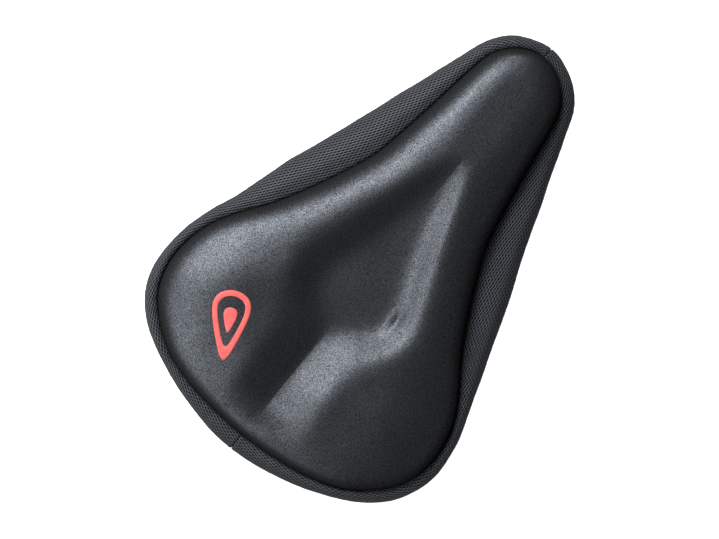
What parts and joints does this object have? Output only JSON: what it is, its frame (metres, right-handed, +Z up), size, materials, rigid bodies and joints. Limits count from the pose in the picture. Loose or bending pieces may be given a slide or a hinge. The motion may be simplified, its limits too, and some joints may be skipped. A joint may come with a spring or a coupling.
{
  "type": "bicycle saddle cover",
  "caption": "Padded bicycle saddle cover: moulded stretch top with a spade-shaped recess and rear groove, air-mesh side band and a drawcord hem with a spring cord lock.",
  "frame": {"origin": "centre of the bounding box in plan, on the plane the hem rests on", "axes": "+X towards the nose, +Y to the rider's left, +Z up through the pad"},
  "size_m": [0.28, 0.1934, 0.0455],
  "materials": {
    "stretch_fabric": "satin stretch knit",
    "air_mesh": "open spacer mesh",
    "foam": "moulded polyurethane foam",
    "gel": "soft gel",
    "grip_fabric": "knit with raised silicone dots",
    "woven_tape": "woven",
    "thread": "sewn",
    "badge_print": "heat-transfer print",
    "cord": "braided",
    "moulded_plastic": "moulded",
    "spring_steel": "drawn wire"
  },
  "bodies": {
    "cover": {"top_fabric": "stretch_fabric", "foam_pad": "foam", "gel_pad_left": "gel", "gel_pad_right": "gel", "grip_lining": "grip_fabric", "badge_outline": "badge_print", "badge_drop": "badge_print", "side_band_left": "air_mesh", "side_band_right": "air_mesh", "nose_seam_thread": "thread", "rear_seam_thread": "thread", "top_seam_thread": "thread", "seam_binding_tape": "woven_tape", "hem_casing_left": "woven_tape", "hem_casing_right": "woven_tape", "hem_thread_left": "thread", "hem_thread_right": "thread", "bartack_left": "thread", "bartack_right": "thread", "drawcord": "cord", "cord_end_cap": "moulded_plastic"},
    "cord_lock": {"cord_lock_barrel": "moulded_plastic", "cord_lock_spring": "spring_steel"},
    "plunger": {"cord_lock_plunger": "moulded_plastic"}
  },
  "joints": [
    {"name": "cord_lock_slide", "type": "slide", "parent": "cover", "child": "cord_lock", "axis": [1, 0, 0], "range_m": [0, 0.033]},
    {"name": "plunger_press", "type": "slide", "parent": "cord_lock", "child": "plunger", "axis": [0, -1, 0], "range_m": [0, 0.0035], "stiffness_N_per_m": 150, "springref_m": -0.003, "deforming": ["cord_lock_spring"]}
  ]
}
